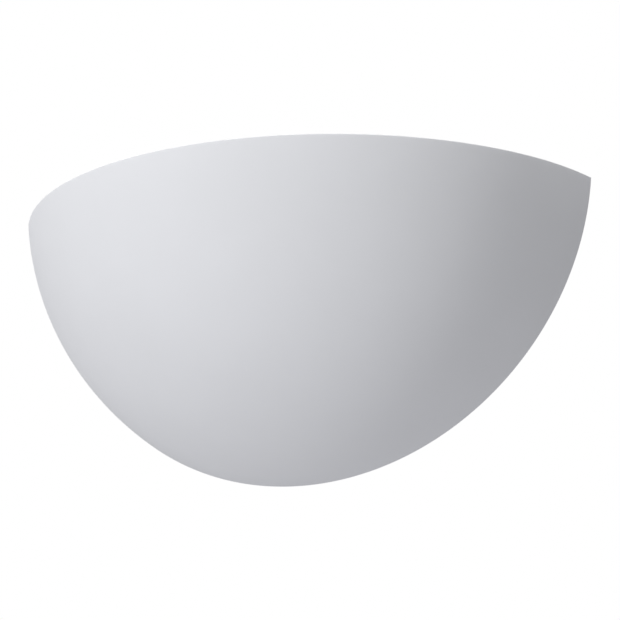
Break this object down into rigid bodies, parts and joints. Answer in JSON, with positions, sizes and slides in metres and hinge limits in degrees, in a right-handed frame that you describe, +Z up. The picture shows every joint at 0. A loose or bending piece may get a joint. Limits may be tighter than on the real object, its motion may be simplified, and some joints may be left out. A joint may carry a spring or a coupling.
{
  "type": "uplighter wall sconce",
  "caption": "Half-bowl plaster wall uplighter, open at the top, that hangs by two pins on a steel wall plate with a screw-cap lamp lying along the wall.",
  "frame": {"origin": "centre of the two wall-fixing slots and of the cable entry, on the wall plane", "axes": "+Z up, +X to the right along the wall as the viewer faces it, +Y into the wall, so the light faces -Y"},
  "size_m": [0.2998, 0.1349, 0.133],
  "materials": {
    "plaster": "matt white plaster with a sealed, very fine grain",
    "powder_coat": "white powder coat on folded steel",
    "rubber": "matt black rubber",
    "zinc_steel": "bright zinc-plated steel",
    "brass": "plain rolled brass",
    "nickel": "nickel-plated sheet",
    "porcelain": "glazed porcelain",
    "black_glass": "black cap insulator",
    "lamp_plastic": "matt white moulding",
    "opal": "opal diffuser with a soft sheen",
    "board": "white-coated aluminium board",
    "phosphor": "yellow phosphor",
    "block_plastic": "ivory moulding",
    "brown_pvc": "brown insulation",
    "blue_pvc": "blue insulation",
    "green_pvc": "green insulation with a yellow stripe",
    "glass_fibre": "woven glass-fibre sleeve"
  },
  "bodies": {
    "wall_unit": {"wall_plate": "powder_coat", "cable_grommet": "rubber", "holder_bracket": "zinc_steel", "bracket_rivets": "zinc_steel", "nipple": "zinc_steel", "nipple_washer": "zinc_steel", "nipple_nut": "zinc_steel", "holder_base": "porcelain", "holder_shroud": "porcelain", "contact_block": "porcelain", "screw_shell": "brass", "holder_terminals": "brass", "holder_terminal_screws": "zinc_steel", "plunger_spring": "zinc_steel", "terminal_block": "block_plastic", "terminal_inserts": "brass", "terminal_screws": "zinc_steel", "block_screws": "zinc_steel", "earth_stud": "zinc_steel", "earth_washer": "zinc_steel", "earth_tag": "nickel", "earth_nut": "brass", "live_wire": "brown_pvc", "neutral_wire": "blue_pvc", "earth_wire": "green_pvc", "wire_sleeve": "glass_fibre"},
    "bowl": {"bowl": "plaster", "hanger_pins": "zinc_steel"},
    "contact": {"contact_plunger": "brass", "plunger_clip": "zinc_steel"},
    "lamp": {"lamp_cap": "nickel", "cap_insulator": "black_glass", "cap_eyelet": "zinc_steel", "lamp_body": "lamp_plastic", "lamp_dome": "opal", "led_board": "board", "led_chips": "phosphor"}
  },
  "joints": [
    {"name": "bowl_lift", "type": "slide", "parent": "wall_unit", "child": "bowl", "axis": [0, 0, 1], "range_m": [0, 0.011]},
    {"name": "plunger_travel", "type": "slide", "parent": "wall_unit", "child": "contact", "axis": [1, 0, 0], "range_m": [0, 0.00364], "deforming": ["plunger_spring"]},
    {"name": "lamp_turn", "type": "hinge", "parent": "contact", "child": "lamp", "pos_m": [0, -0.054, 0.006], "axis": [1, 0, 0], "range_deg": [0, 360]}
  ],
  "couplings": [
    {"joint": "plunger_travel", "follows": "lamp_turn", "m_per_rad": 0.00057773}
  ]
}
